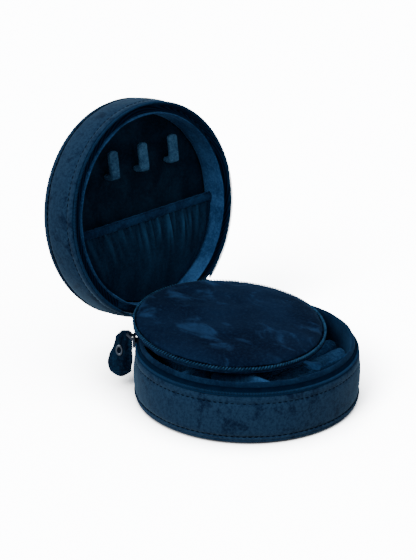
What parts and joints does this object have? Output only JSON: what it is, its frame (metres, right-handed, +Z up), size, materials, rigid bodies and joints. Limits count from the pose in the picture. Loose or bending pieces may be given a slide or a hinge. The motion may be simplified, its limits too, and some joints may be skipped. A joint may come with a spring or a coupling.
{
  "type": "round jewellery case",
  "caption": "Round zip-up velvet jewellery case with hinged lid, cover flap, ring rolls, compartments, necklace hooks and a gathered lid pocket.",
  "frame": {"origin": "centre of the base's flat underside", "axes": "+Z up, +Y towards the fabric hinge and the open lid, -Y towards the front of the rim, +X along the hinge line"},
  "size_m": [0.1204, 0.1617, 0.1471],
  "materials": {
    "outer_velvet": "crushed velvet, blue-grey sheen",
    "lining_velvet": "dark navy velvet",
    "flap_velvet": "crushed navy velvet",
    "pocket_velvet": "gathered navy velvet",
    "zip_fabric": "dark woven tape",
    "zip_coil": "satin nylon coil",
    "zip_metal": "polished",
    "board": "plain stiffener",
    "tab_satin": "dark satin"
  },
  "bodies": {
    "base": {"base_bottom_panel": "outer_velvet", "base_bottom_welt": "outer_velvet", "base_outer_band": "outer_velvet", "base_floor_pad": "lining_velvet", "base_wall_lining": "lining_velvet", "base_collar": "lining_velvet", "divider_long": "lining_velvet", "divider_left": "lining_velvet", "divider_rear": "lining_velvet", "ring_tray_front": "lining_velvet", "ring_roll_1": "lining_velvet", "ring_roll_2": "lining_velvet", "ring_roll_3": "lining_velvet", "ring_roll_4": "lining_velvet", "ring_roll_5": "lining_velvet", "tape_block": "lining_velvet", "tape_anchor": "lining_velvet", "base_zip_tape": "zip_fabric", "base_zip_coil": "zip_coil", "zip_stop_left": "zip_metal", "zip_stop_right": "zip_metal", "hinge_strip_base": "lining_velvet"},
    "lid": {"lid_top_panel": "outer_velvet", "lid_top_welt": "outer_velvet", "lid_outer_band": "outer_velvet", "lid_backing_pad": "lining_velvet", "lid_wall_lining": "lining_velvet", "lid_lining_roll": "lining_velvet", "lid_zip_tape": "zip_fabric", "lid_zip_coil": "zip_coil", "hinge_strip_lid": "lining_velvet", "necklace_hook_1": "lining_velvet", "necklace_hook_2": "lining_velvet", "necklace_hook_3": "lining_velvet", "pocket_cloth": "pocket_velvet", "pocket_hem": "pocket_velvet", "pocket_elastic": "zip_fabric"},
    "flap_link": {"flap_tape": "lining_velvet"},
    "flap": {"flap_bottom_cover": "flap_velvet", "flap_board": "board", "flap_top_cover": "flap_velvet", "flap_edge_cord": "flap_velvet"},
    "pull_loop": {"flap_pull_loop": "flap_velvet"},
    "zip_slider": {"zip_slider": "zip_metal", "zip_slider_bail": "zip_metal"},
    "zip_ring": {"pull_ring": "zip_metal"},
    "zip_tab": {"pull_tab": "tab_satin", "pull_tab_hem": "tab_satin", "pull_tab_eyelet": "zip_metal"}
  },
  "joints": [
    {"name": "lid_hinge", "type": "hinge", "parent": "base", "child": "lid", "pos_m": [0, 0.0595, 0.0287], "axis": [1, 0, 0], "range_deg": [0, 97.94]},
    {"name": "flap_tape_fold", "type": "hinge", "parent": "base", "child": "flap_link", "pos_m": [0, 0.04935, 0.0289], "axis": [1, 0, 0], "range_deg": [0, 113.41]},
    {"name": "flap_fold", "type": "hinge", "parent": "flap_link", "child": "flap", "pos_m": [0, 0.05305, 0.03749], "axis": [1, 0, 0], "range_deg": [-118.41, 0]},
    {"name": "pull_loop_fold", "type": "hinge", "parent": "flap", "child": "pull_loop", "pos_m": [0, -0.03922, 0.02961], "axis": [1, 0, 0], "range_deg": [0, 110.1]},
    {"name": "zip_run", "type": "hinge", "parent": "base", "child": "zip_slider", "pos_m": [0, 0, 0.0287], "axis": [0, 0, 1], "range_deg": [0, 280]},
    {"name": "pull_ring_swing", "type": "hinge", "parent": "zip_slider", "child": "zip_ring", "pos_m": [-0.0414, 0.04933, 0.033], "axis": [0.766, 0.6428, 0], "range_deg": [0, 60]},
    {"name": "pull_tab_swing", "type": "hinge", "parent": "zip_ring", "child": "zip_tab", "pos_m": [-0.0414, 0.04933, 0.03185], "axis": [0.766, 0.6428, 0], "range_deg": [0, 60]}
  ],
  "couplings": [
    {"joint": "flap_tape_fold", "follows": "lid_hinge", "ratio": 1.1569},
    {"joint": "flap_fold", "follows": "lid_hinge", "ratio": -1.2079},
    {"joint": "pull_loop_fold", "follows": "lid_hinge", "ratio": 1.1231}
  ]
}
